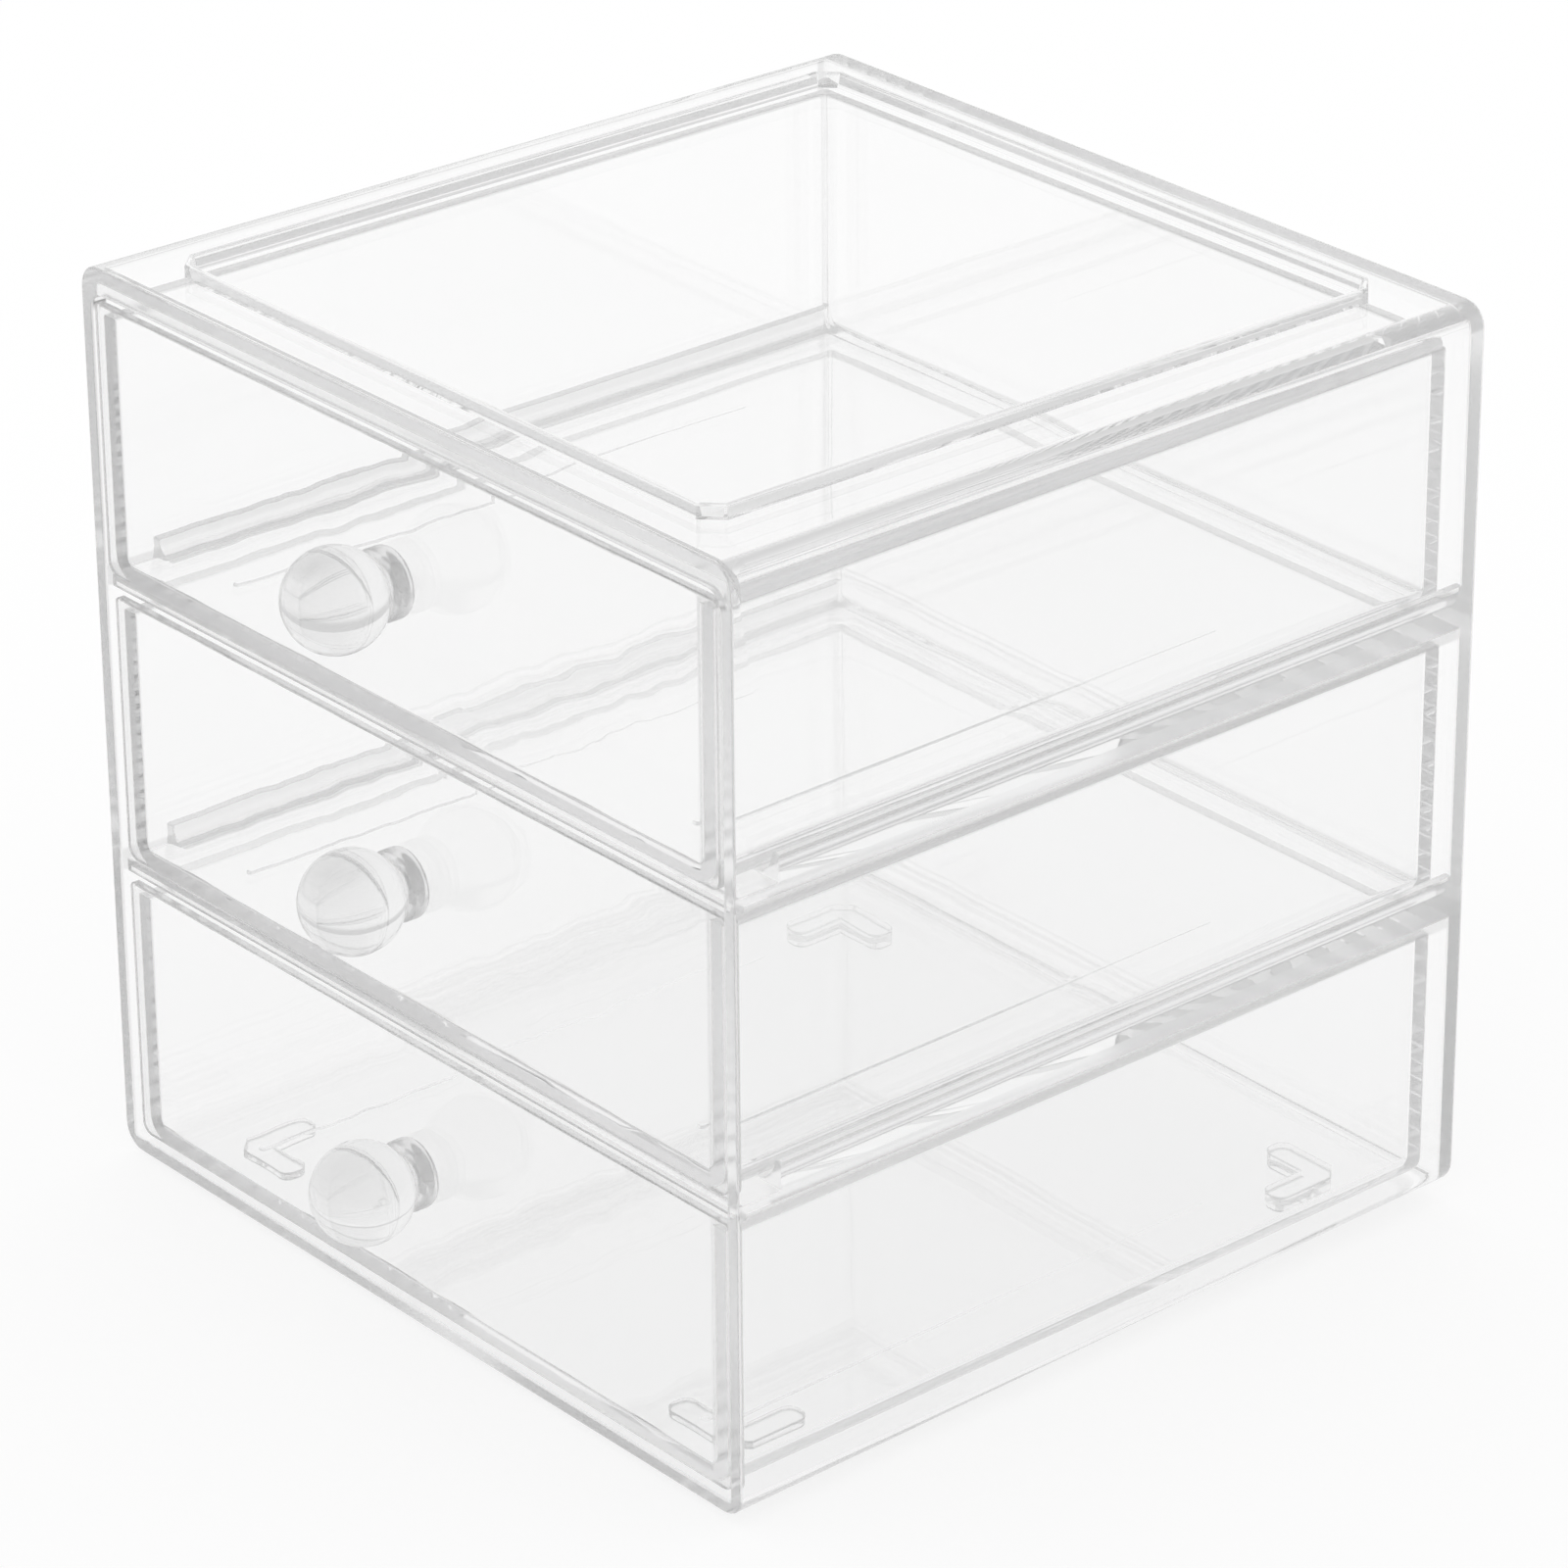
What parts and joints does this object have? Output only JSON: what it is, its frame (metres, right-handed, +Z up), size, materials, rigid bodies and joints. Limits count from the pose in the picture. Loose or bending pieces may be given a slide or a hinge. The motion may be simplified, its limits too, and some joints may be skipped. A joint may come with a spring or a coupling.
{
  "type": "clear drawer organizer cube",
  "caption": "Clear moulded plastic tabletop cube with pull-out drawers, ball knobs, a stacking rim on the lid and corner feet.",
  "frame": {"origin": "on the surface that the feet stand on, under the middle of the whole object, knobs included", "axes": "+Z up, the drawers open towards -Y, +X to the right seen from the front"},
  "size_m": [0.178, 0.1942, 0.1807],
  "materials": {
    "clear_case": "clear colourless moulded plastic, polished, glossy",
    "clear_drawer": "clear colourless moulded plastic, polished, glossy",
    "clear_knob": "solid clear moulded plastic, polished, glossy",
    "clear_foot": "clear moulded plastic pad, glossy"
  },
  "bodies": {
    "cabinet": {"case": "clear_case", "foot_front_left": "clear_foot", "foot_front_right": "clear_foot", "foot_back_left": "clear_foot", "foot_back_right": "clear_foot"},
    "top_drawer": {"drawer_top": "clear_drawer", "knob_top": "clear_knob"},
    "middle_drawer": {"drawer_middle": "clear_drawer", "knob_middle": "clear_knob"},
    "bottom_drawer": {"drawer_bottom": "clear_drawer", "knob_bottom": "clear_knob"}
  },
  "joints": [
    {"name": "top_drawer_slide", "type": "slide", "parent": "cabinet", "child": "top_drawer", "axis": [0, -1, 0], "range_m": [-0.002, 0.12]},
    {"name": "middle_drawer_slide", "type": "slide", "parent": "cabinet", "child": "middle_drawer", "axis": [0, -1, 0], "range_m": [-0.001, 0.12]},
    {"name": "bottom_drawer_slide", "type": "slide", "parent": "cabinet", "child": "bottom_drawer", "axis": [0, -1, 0], "range_m": [-0.001, 0.12]}
  ]
}
